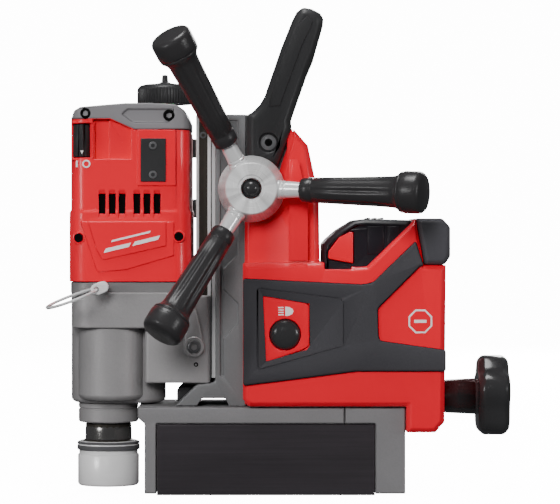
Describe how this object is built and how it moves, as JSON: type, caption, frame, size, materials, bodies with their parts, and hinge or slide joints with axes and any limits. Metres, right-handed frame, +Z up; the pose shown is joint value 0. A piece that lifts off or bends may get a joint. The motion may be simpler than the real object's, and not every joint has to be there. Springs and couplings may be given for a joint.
{
  "type": "magnetic drill press",
  "caption": "Battery powered core drill on a permanent magnet base, with a rack fed slide, hand levers, coolant bottle and carry handle.",
  "frame": {"origin": "centre of the magnet's bottom face, where it clamps on the work", "axes": "+Z up, away from the work; -X towards the drill, +X towards the battery and the magnet knob; -Y towards the feed levers"},
  "size_m": [0.3137, 0.2061, 0.329],
  "materials": {
    "base_cast": "satin grey",
    "column_cast": "cast, satin",
    "gear_cast": "cast, satin",
    "magnet_black": "black, satin",
    "steel": "ground",
    "dark_steel": "oiled",
    "bright_steel": "polished",
    "bronze": "machined",
    "copper_core": "laminated, wound",
    "red_plastic": "satin red",
    "grey_plastic": "satin grey",
    "dark_rubber": "matt",
    "black_plastic": "satin black",
    "grip_plastic": "satin black",
    "bottle_plastic": "translucent white",
    "board": "printed circuit board"
  },
  "bodies": {
    "stand": {"base_casting": "base_cast", "base_rear_casting": "base_cast", "magnet_body": "magnet_black", "column": "column_cast", "way_near": "steel", "way_far": "steel", "feed_bush_near": "bronze", "feed_bush_far": "bronze", "carry_handle": "black_plastic", "handle_screw_near": "dark_steel", "handle_screw_far": "dark_steel", "housing_near": "red_plastic", "housing_far": "red_plastic", "overmold_near": "dark_rubber", "overmold_far": "dark_rubber", "corner_guard": "dark_rubber", "light_panel": "red_plastic", "control_board": "board", "battery_terminal": "black_plastic", "lamp_housing": "black_plastic"},
    "carriage": {"slide_bar": "dark_steel", "feed_rack": "steel", "gear_case": "gear_cast", "gear_case_cover": "gear_cast", "quill_collar": "gear_cast", "spindle_bearing_lower": "steel", "spindle_bearing_upper": "steel", "motor_shell_near": "red_plastic", "motor_shell_far": "red_plastic", "motor_top_cap": "grey_plastic", "access_plate": "black_plastic", "motor_stator": "copper_core", "motor_bearing": "steel", "bottle_bracket": "black_plastic", "coolant_bottle": "bottle_plastic"},
    "feed": {"feed_shaft": "steel", "feed_hub": "bright_steel", "hub_cap": "black_plastic", "lever_rod_1": "bright_steel", "lever_rod_2": "bright_steel", "lever_rod_3": "bright_steel", "lever_grip_1": "grip_plastic", "lever_grip_2": "grip_plastic", "lever_grip_3": "grip_plastic"},
    "spindle": {"spindle": "steel", "spindle_gear": "steel"},
    "arbor_sleeve": {"arbor_sleeve": "bright_steel"},
    "idler_two": {"idler_two": "steel"},
    "idler_one": {"idler_one": "steel"},
    "rotor": {"motor_rotor": "copper_core"},
    "power_dial": {"power_dial": "black_plastic"},
    "lock_pin": {"lock_pin": "bright_steel"},
    "pull_ring": {"pull_ring": "bright_steel"},
    "bottle_cap": {"bottle_cap": "black_plastic"},
    "light_button": {"light_button": "black_plastic"},
    "battery": {"battery_pack": "black_plastic"},
    "latch_near": {"battery_latch_near": "red_plastic"},
    "latch_far": {"battery_latch_far": "red_plastic"},
    "magnet_rotor": {"magnet_rotor": "steel"},
    "magnet_knob": {"magnet_knob": "black_plastic"}
  },
  "joints": [
    {"name": "carriage_slide", "type": "slide", "parent": "stand", "child": "carriage", "axis": [0, 0, 1], "range_m": [0, 0.136]},
    {"name": "feed_turn", "type": "hinge", "parent": "stand", "child": "feed", "pos_m": [-0.0096, 0, 0.2063], "axis": [0, 1, 0], "range_deg": [0, 710]},
    {"name": "spindle_turn", "type": "hinge", "parent": "carriage", "child": "spindle", "pos_m": [-0.1085, 0, 0.06], "axis": [0, 0, 1], "continuous": true},
    {"name": "idler_two_turn", "type": "hinge", "parent": "carriage", "child": "idler_two", "pos_m": [-0.08802, -0.01434, 0.12], "axis": [0, 0, 1], "continuous": true},
    {"name": "idler_one_turn", "type": "hinge", "parent": "carriage", "child": "idler_one", "pos_m": [-0.07281, 0.00422, 0.128], "axis": [0, 0, 1], "continuous": true},
    {"name": "rotor_turn", "type": "hinge", "parent": "carriage", "child": "rotor", "pos_m": [-0.0944, 0, 0.19], "axis": [0, 0, 1], "continuous": true},
    {"name": "sleeve_turn", "type": "hinge", "parent": "spindle", "child": "arbor_sleeve", "pos_m": [-0.1085, 0, 0.02], "axis": [0, 0, 1], "range_deg": [0, 35], "stiffness_Nm_per_rad": 0.5},
    {"name": "dial_turn", "type": "hinge", "parent": "carriage", "child": "power_dial", "pos_m": [-0.1243, -0.0335, 0.24], "axis": [0, 0, 1], "range_deg": [0, 45]},
    {"name": "pin_pull", "type": "slide", "parent": "carriage", "child": "lock_pin", "axis": [0, -1, 0], "range_m": [0, 0.008], "stiffness_N_per_m": 400},
    {"name": "ring_swing", "type": "hinge", "parent": "lock_pin", "child": "pull_ring", "pos_m": [-0.11282, -0.0615, 0.13923], "axis": [0, 1, 0], "range_deg": [-60, 60]},
    {"name": "bottle_cap_turn", "type": "hinge", "parent": "carriage", "child": "bottle_cap", "pos_m": [-0.0722, 0.0666, 0.276], "axis": [0, 0, 1], "range_deg": [0, 360]},
    {"name": "light_press", "type": "slide", "parent": "stand", "child": "light_button", "axis": [0, 1, 0], "range_m": [0, 0.002], "stiffness_N_per_m": 500},
    {"name": "battery_slide", "type": "slide", "parent": "stand", "child": "battery", "axis": [0, 0, 1], "range_m": [0, 0.11]},
    {"name": "latch_near_press", "type": "slide", "parent": "battery", "child": "latch_near", "axis": [0, 1, 0], "range_m": [0, 0.003], "stiffness_N_per_m": 500},
    {"name": "latch_far_press", "type": "slide", "parent": "battery", "child": "latch_far", "axis": [0, -1, 0], "range_m": [0, 0.003], "stiffness_N_per_m": 500},
    {"name": "magnet_turn", "type": "hinge", "parent": "stand", "child": "magnet_rotor", "pos_m": [0, 0, 0.026], "axis": [1, 0, 0], "range_deg": [0, 180]},
    {"name": "knob_turn", "type": "hinge", "parent": "stand", "child": "magnet_knob", "pos_m": [0.14, 0, 0.0643], "axis": [1, 0, 0], "range_deg": [-180, 0]}
  ],
  "couplings": [
    {"joint": "feed_turn", "follows": "carriage_slide", "rad_per_m": 90.909},
    {"joint": "idler_two_turn", "follows": "spindle_turn", "ratio": -3},
    {"joint": "idler_one_turn", "follows": "spindle_turn", "ratio": 11.4},
    {"joint": "rotor_turn", "follows": "spindle_turn", "ratio": -44.333},
    {"joint": "knob_turn", "follows": "magnet_turn", "ratio": -1}
  ]
}
